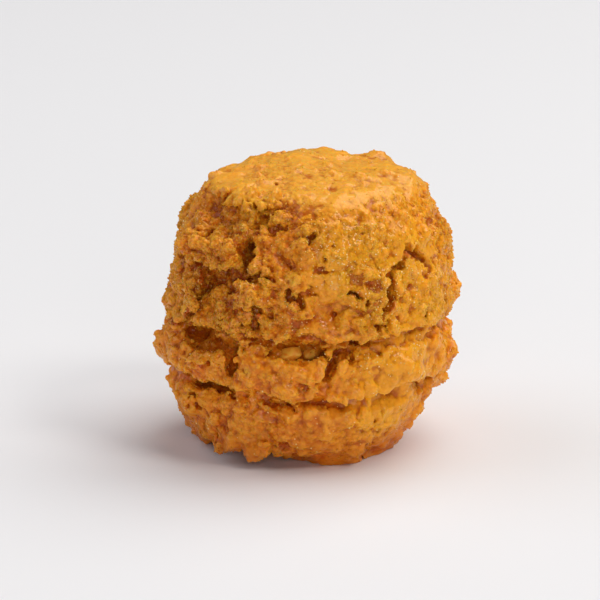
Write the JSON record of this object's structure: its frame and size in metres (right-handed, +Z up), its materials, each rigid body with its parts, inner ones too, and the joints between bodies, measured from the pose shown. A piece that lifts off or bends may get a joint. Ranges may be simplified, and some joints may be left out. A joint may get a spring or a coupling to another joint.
{
  "type": "french macaron",
  "caption": "Small barrel-shaped almond macaron in one piece, golden brown and craggy, with a flat pressed top, torn seams round its side and a flat base to stand on.",
  "frame": {"origin": "middle of the flat base, on the surface it stands on", "axes": "+Z up through the pressed top, -Y out of the side that faces the viewer, +X to the viewer's right"},
  "size_m": [0.0332, 0.0336, 0.0318],
  "materials": {
    "dough": "golden brown baked almond crumb, moist and slightly shiny"
  },
  "bodies": {
    "root": {"macaron": "dough"}
  },
  "joints": []
}
